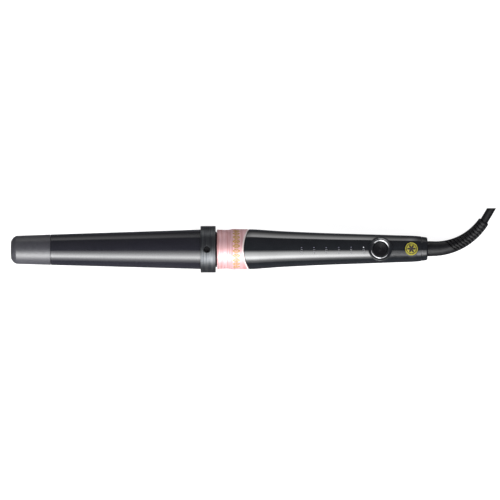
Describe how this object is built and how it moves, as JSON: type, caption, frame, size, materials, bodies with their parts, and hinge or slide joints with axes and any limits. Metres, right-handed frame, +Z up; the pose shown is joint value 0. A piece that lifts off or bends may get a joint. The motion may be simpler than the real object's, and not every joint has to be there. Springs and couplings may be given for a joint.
{
  "type": "curling wand",
  "caption": "Tapered hair-curling wand with cool tip, heated cone, fold-out rest stand, metallic sleeve, push-button handle and swivelling cord boot.",
  "frame": {"origin": "centre of the rest stand's flat underside, on the table", "axes": "+X runs level from the tip towards the cord, +Z is up; the wand leans back on its stand, so its own axis dips 10.2 degrees below +X towards the cord, and the button faces up"},
  "size_m": [0.3893, 0.0515, 0.0791],
  "materials": {
    "cool_tip": "satin grey nylon",
    "barrel": "gloss black lacquer over aluminium tube",
    "collar": "dark satin, brushed round",
    "rose_gold": "rose gold plating over plastic",
    "handle": "piano black gloss",
    "chrome": "polished",
    "badge": "gold foil under clear lacquer",
    "soft_rubber": "matte black rubber",
    "aluminium": "extruded",
    "ceramic": "unglazed",
    "steel": "bright",
    "black_steel": "blackened",
    "brass": "bright",
    "board": "solder mask",
    "component": "moulded",
    "clear_plastic": "translucent",
    "wire_red": "silicone sleeve",
    "wire_blue": "silicone sleeve",
    "black_resin": "moulded"
  },
  "bodies": {
    "wand": {"badge": "badge", "barrel": "barrel", "barrel_base": "black_resin", "brush_live": "component", "brush_neutral": "component", "button_bezel": "chrome", "button_spring": "steel", "button_surround": "handle", "capacitor": "aluminium", "circuit_board": "board", "collar": "collar", "collar_screw": "black_steel", "controller_chip": "component", "cool_tip": "cool_tip", "handle_lower": "handle", "handle_upper": "handle", "heat_spreader_lower": "aluminium", "heat_spreader_upper": "aluminium", "heater_element": "ceramic", "heater_lead_live": "wire_red", "heater_lead_neutral": "wire_blue", "lamp_chip_1": "component", "lamp_chip_2": "component", "lamp_chip_3": "component", "lamp_chip_4": "component", "lamp_chip_5": "component", "lamp_chip_6": "component", "lamp_lens_1": "clear_plastic", "lamp_lens_2": "clear_plastic", "lamp_lens_3": "clear_plastic", "lamp_lens_4": "clear_plastic", "lamp_lens_5": "clear_plastic", "lamp_lens_6": "clear_plastic", "relay_fuse": "ceramic", "shell_screw_1": "black_steel", "shell_screw_2": "black_steel", "shell_screw_3": "black_steel", "sleeve": "rose_gold", "stand_bracket": "black_steel", "stand_screw": "black_steel", "switch_body": "component", "tail_cap": "handle", "terminal_block": "ceramic", "thermal_fuse": "steel", "thermistor": "ceramic", "tip_disc": "ceramic", "tip_screw": "steel", "triac": "component"},
    "button": {"button_cap": "soft_rubber", "switch_plunger": "clear_plastic"},
    "swivel": {"swivel_hub": "black_resin", "slip_ring_live": "brass", "slip_ring_neutral": "brass", "cord_boot": "soft_rubber", "cord": "soft_rubber"},
    "stand_leg": {"stand": "black_resin", "stand_pin": "steel"}
  },
  "joints": [
    {"name": "power_button", "type": "slide", "parent": "wand", "child": "button", "axis": [-0.1769, 0, -0.9842], "range_m": [0, 0.0008], "stiffness_N_per_m": 1500, "springref_m": -0.0005, "deforming": ["button_spring"]},
    {"name": "cord_swivel", "type": "hinge", "parent": "wand", "child": "swivel", "pos_m": [0.18157, 0, 0.01071], "axis": [0.9842, 0, -0.1769], "continuous": true},
    {"name": "stand_fold", "type": "hinge", "parent": "wand", "child": "stand_leg", "pos_m": [0.01205, 0, 0.0172], "axis": [0, -1, 0], "range_deg": [0, 115]}
  ]
}
